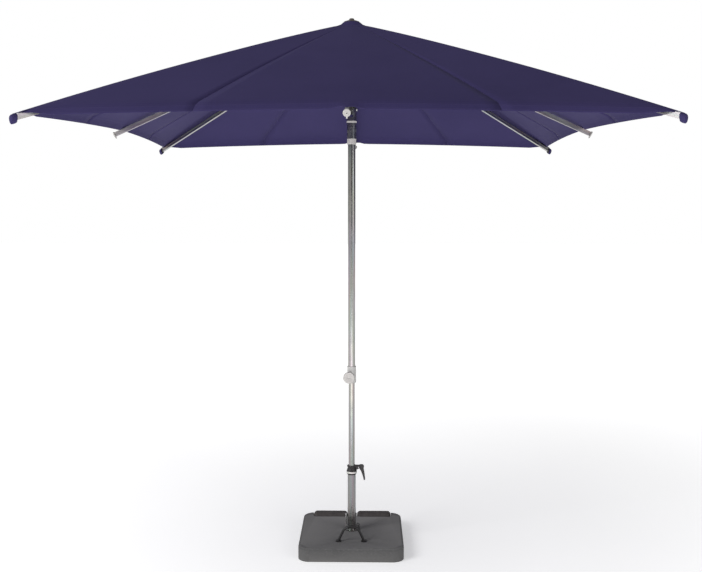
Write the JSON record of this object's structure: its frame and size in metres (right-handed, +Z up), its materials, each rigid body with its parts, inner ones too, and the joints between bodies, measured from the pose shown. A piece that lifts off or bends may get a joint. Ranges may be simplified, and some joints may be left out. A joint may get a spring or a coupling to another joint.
{
  "type": "patio umbrella with base",
  "caption": "Square crank patio umbrella with tilt joint and ribs, standing in a clamped socket on a square concrete base with rollers and a carrying bow.",
  "frame": {"origin": "middle of the base's underside", "axes": "+Z up the pole, the crank faces -Y, the rollers are at +Y"},
  "size_m": [2.5158, 2.5158, 2.712],
  "materials": {
    "concrete": "cast grey concrete, fine speckle",
    "roller_rubber": "dark rubber",
    "galvanised_steel": "bright zinc",
    "black_steel": "black satin paint",
    "black_plastic": "fine moulded texture",
    "nylon": "smooth",
    "anodised_aluminium": "satin anodised",
    "housing_grey": "light grey moulded",
    "light_plastic": "light grey moulded",
    "cap_plastic": "off-white moulded",
    "rib_aluminium": "satin extruded",
    "strut_aluminium": "satin",
    "canopy_fabric": "indigo woven polyester",
    "finial_brown": "dark brown"
  },
  "bodies": {
    "base": {"base_block": "concrete", "roller_axle": "galvanised_steel", "socket_tube": "galvanised_steel", "socket_screws": "galvanised_steel", "bow_handle": "black_steel", "clamp_collar": "black_plastic", "clamp_band": "galvanised_steel", "lever_pin": "galvanised_steel"},
    "clamp_lever": {"clamp_lever": "black_plastic"},
    "roller_left": {"roller_left": "roller_rubber"},
    "roller_right": {"roller_right": "roller_rubber"},
    "pole_liner": {"pole_liner": "nylon"},
    "pole": {"lower_pole": "anodised_aluminium", "upper_pole": "anodised_aluminium", "crank_housing": "housing_grey", "tilt_rings": "light_plastic", "tilt_sleeve": "anodised_aluminium", "tilt_fork": "anodised_aluminium", "tilt_bolt": "galvanised_steel"},
    "crank": {"crank_wheel": "light_plastic", "crank_shaft": "anodised_aluminium"},
    "head": {"head_knuckle": "black_plastic", "head_tube": "anodised_aluminium", "crown_hub": "black_plastic", "crown_pins": "galvanised_steel", "finial": "finial_brown", "canopy_peak": "canopy_fabric"},
    "runner": {"runner": "black_plastic"},
    "rib_right": {"rib_right": "rib_aluminium", "rib_cap_right": "cap_plastic", "canopy_right": "canopy_fabric"},
    "strut_right": {"strut_right": "strut_aluminium"},
    "rib_back_right": {"rib_back_right": "rib_aluminium", "rib_cap_back_right": "cap_plastic", "canopy_back_right": "canopy_fabric"},
    "strut_back_right": {"strut_back_right": "strut_aluminium"},
    "rib_back": {"rib_back": "rib_aluminium", "rib_cap_back": "cap_plastic", "canopy_back": "canopy_fabric"},
    "strut_back": {"strut_back": "strut_aluminium"},
    "rib_back_left": {"rib_back_left": "rib_aluminium", "rib_cap_back_left": "cap_plastic", "canopy_back_left": "canopy_fabric"},
    "strut_back_left": {"strut_back_left": "strut_aluminium"},
    "rib_left": {"rib_left": "rib_aluminium", "rib_cap_left": "cap_plastic", "canopy_left": "canopy_fabric"},
    "strut_left": {"strut_left": "strut_aluminium"},
    "rib_front_left": {"rib_front_left": "rib_aluminium", "rib_cap_front_left": "cap_plastic", "canopy_front_left": "canopy_fabric"},
    "strut_front_left": {"strut_front_left": "strut_aluminium"},
    "rib_front": {"rib_front": "rib_aluminium", "rib_cap_front": "cap_plastic", "canopy_front": "canopy_fabric"},
    "strut_front": {"strut_front": "strut_aluminium"},
    "rib_front_right": {"rib_front_right": "rib_aluminium", "rib_cap_front_right": "cap_plastic", "canopy_front_right": "canopy_fabric"},
    "strut_front_right": {"strut_front_right": "strut_aluminium"}
  },
  "joints": [
    {"name": "clamp_lever_turn", "type": "hinge", "parent": "base", "child": "clamp_lever", "pos_m": [0.036, 0, 0.4105], "axis": [0, -1, 0], "range_deg": [0, 70]},
    {"name": "roller_left_turn", "type": "hinge", "parent": "base", "child": "roller_left", "pos_m": [0, 0.2365, 0.044], "axis": [1, 0, 0], "continuous": true},
    {"name": "roller_right_turn", "type": "hinge", "parent": "base", "child": "roller_right", "pos_m": [0, 0.2365, 0.044], "axis": [1, 0, 0], "continuous": true},
    {"name": "pole_turn", "type": "hinge", "parent": "base", "child": "pole_liner", "pos_m": [0, 0, 0.3], "axis": [0, 0, 1], "continuous": true},
    {"name": "pole_lift", "type": "slide", "parent": "pole_liner", "child": "pole", "axis": [0, 0, 1], "range_m": [0, 0.2]},
    {"name": "canopy_tilt", "type": "hinge", "parent": "pole", "child": "head", "pos_m": [0, 0, 2.262], "axis": [-1, 0, 0], "range_deg": [0, 35]},
    {"name": "canopy_fold", "type": "hinge", "parent": "head", "child": "rib_front_left", "pos_m": [-0.03535, -0.03535, 2.655], "axis": [-0.7071, 0.7071, 0], "range_deg": [-68.58, 0], "deforming": ["canopy_front_left"]},
    {"name": "runner_slide", "type": "slide", "parent": "head", "child": "runner", "axis": [0, 0, 1], "range_m": [-0.7265, 0.002]},
    {"name": "crank_turn", "type": "hinge", "parent": "pole", "child": "crank", "pos_m": [-0.014, -0.04, 0.892], "axis": [0, -1, 0], "range_deg": [-10, 6396.25]},
    {"name": "rib_fold_right", "type": "hinge", "parent": "head", "child": "rib_right", "pos_m": [0.05, 0, 2.655], "axis": [0, -1, 0], "range_deg": [-62.41, 0.2], "deforming": ["canopy_right"]},
    {"name": "strut_fold_right", "type": "hinge", "parent": "rib_right", "child": "strut_right", "pos_m": [0.56121, 0, 2.42639], "axis": [0, -1, 0], "range_deg": [-0.3, 135.25]},
    {"name": "rib_fold_back_right", "type": "hinge", "parent": "head", "child": "rib_back_right", "pos_m": [0.03535, 0.03535, 2.655], "axis": [0.7071, -0.7071, 0], "range_deg": [-68.78, 0.2], "deforming": ["canopy_back_right"]},
    {"name": "strut_fold_back_right", "type": "hinge", "parent": "rib_back_right", "child": "strut_back_right", "pos_m": [0.39831, 0.39831, 2.49383], "axis": [0.7071, -0.7071, 0], "range_deg": [-0.3, 134.75]},
    {"name": "rib_fold_back", "type": "hinge", "parent": "head", "child": "rib_back", "pos_m": [0, 0.05, 2.655], "axis": [1, 0, 0], "range_deg": [-62.41, 0.2], "deforming": ["canopy_back"]},
    {"name": "strut_fold_back", "type": "hinge", "parent": "rib_back", "child": "strut_back", "pos_m": [0, 0.56121, 2.42639], "axis": [1, 0, 0], "range_deg": [-0.3, 135.25]},
    {"name": "rib_fold_back_left", "type": "hinge", "parent": "head", "child": "rib_back_left", "pos_m": [-0.03535, 0.03535, 2.655], "axis": [0.7071, 0.7071, 0], "range_deg": [-68.78, 0.2], "deforming": ["canopy_back_left"]},
    {"name": "strut_fold_back_left", "type": "hinge", "parent": "rib_back_left", "child": "strut_back_left", "pos_m": [-0.39831, 0.39831, 2.49383], "axis": [0.7071, 0.7071, 0], "range_deg": [-0.3, 134.75]},
    {"name": "rib_fold_left", "type": "hinge", "parent": "head", "child": "rib_left", "pos_m": [-0.05, 0, 2.655], "axis": [0, 1, 0], "range_deg": [-62.41, 0.2], "deforming": ["canopy_left"]},
    {"name": "strut_fold_left", "type": "hinge", "parent": "rib_left", "child": "strut_left", "pos_m": [-0.56121, 0, 2.42639], "axis": [0, 1, 0], "range_deg": [-0.3, 135.25]},
    {"name": "strut_fold_front_left", "type": "hinge", "parent": "rib_front_left", "child": "strut_front_left", "pos_m": [-0.39831, -0.39831, 2.49383], "axis": [-0.7071, 0.7071, 0], "range_deg": [-0.3, 134.75]},
    {"name": "rib_fold_front", "type": "hinge", "parent": "head", "child": "rib_front", "pos_m": [0, -0.05, 2.655], "axis": [-1, 0, 0], "range_deg": [-62.41, 0.2], "deforming": ["canopy_front"]},
    {"name": "strut_fold_front", "type": "hinge", "parent": "rib_front", "child": "strut_front", "pos_m": [0, -0.56121, 2.42639], "axis": [-1, 0, 0], "range_deg": [-0.3, 135.25]},
    {"name": "rib_fold_front_right", "type": "hinge", "parent": "head", "child": "rib_front_right", "pos_m": [0.03535, -0.03535, 2.655], "axis": [-0.7071, -0.7071, 0], "range_deg": [-68.78, 0.2], "deforming": ["canopy_front_right"]},
    {"name": "strut_fold_front_right", "type": "hinge", "parent": "rib_front_right", "child": "strut_front_right", "pos_m": [0.39831, -0.39831, 2.49383], "axis": [-0.7071, -0.7071, 0], "range_deg": [-0.3, 134.75]}
  ],
  "couplings": [
    {"joint": "runner_slide", "follows": "canopy_fold", "m_per_rad": 0.60526},
    {"joint": "crank_turn", "follows": "canopy_fold", "ratio": -93.117},
    {"joint": "rib_fold_right", "follows": "canopy_fold", "ratio": 0.90702},
    {"joint": "strut_fold_right", "follows": "canopy_fold", "ratio": -1.9677},
    {"joint": "rib_fold_back_right", "follows": "canopy_fold", "ratio": 1},
    {"joint": "strut_fold_back_right", "follows": "canopy_fold", "ratio": -1.9605},
    {"joint": "rib_fold_back", "follows": "canopy_fold", "ratio": 0.90702},
    {"joint": "strut_fold_back", "follows": "canopy_fold", "ratio": -1.9677},
    {"joint": "rib_fold_back_left", "follows": "canopy_fold", "ratio": 1},
    {"joint": "strut_fold_back_left", "follows": "canopy_fold", "ratio": -1.9605},
    {"joint": "rib_fold_left", "follows": "canopy_fold", "ratio": 0.90702},
    {"joint": "strut_fold_left", "follows": "canopy_fold", "ratio": -1.9677},
    {"joint": "strut_fold_front_left", "follows": "canopy_fold", "ratio": -1.9605},
    {"joint": "rib_fold_front", "follows": "canopy_fold", "ratio": 0.90702},
    {"joint": "strut_fold_front", "follows": "canopy_fold", "ratio": -1.9677},
    {"joint": "rib_fold_front_right", "follows": "canopy_fold", "ratio": 1},
    {"joint": "strut_fold_front_right", "follows": "canopy_fold", "ratio": -1.9605}
  ]
}
